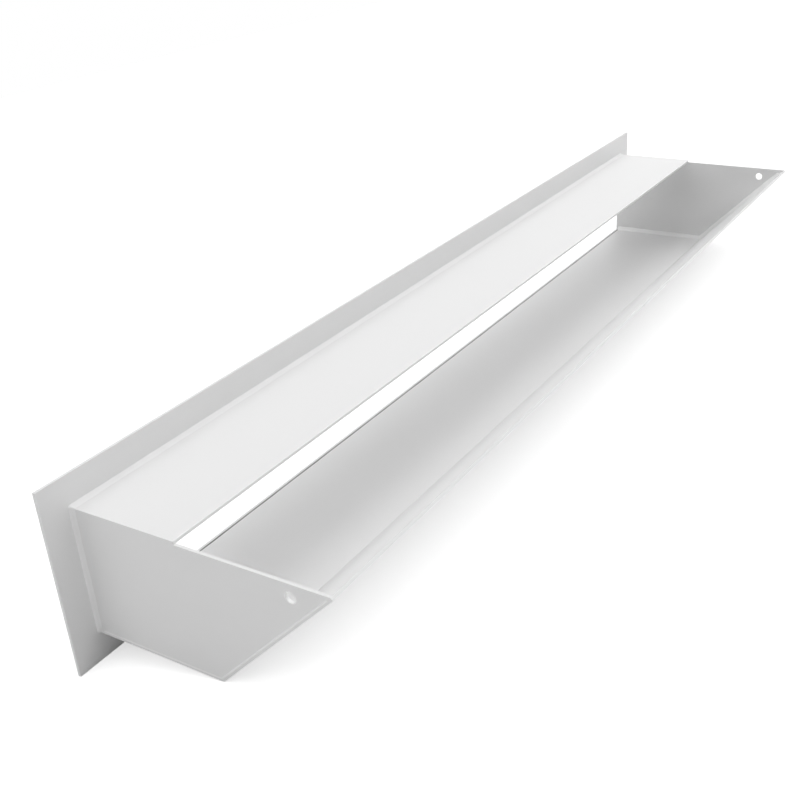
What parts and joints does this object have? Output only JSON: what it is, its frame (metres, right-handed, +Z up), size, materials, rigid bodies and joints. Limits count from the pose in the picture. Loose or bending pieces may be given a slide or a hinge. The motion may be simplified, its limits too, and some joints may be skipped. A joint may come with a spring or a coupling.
{
  "type": "ventilation grille",
  "caption": "Long slot ventilation grille: flat rectangular front frame with a welded sheet body behind it, whose sloping deflector turns the air upwards.",
  "frame": {"origin": "on the floor, under the middle of the grille's box as it stands unheld", "axes": "+X along the slot, +Y from the front frame towards the deflector, +Z up; as it stands, the front frame leans back by 11.6 degrees"},
  "size_m": [0.6, 0.142, 0.0885],
  "materials": {
    "white_powder_coat": "satin white powder coat on sheet steel"
  },
  "bodies": {
    "root": {"front_frame": "white_powder_coat", "top_plate": "white_powder_coat", "bent_deflector": "white_powder_coat", "end_plate_left": "white_powder_coat", "end_plate_right": "white_powder_coat"}
  },
  "joints": []
}
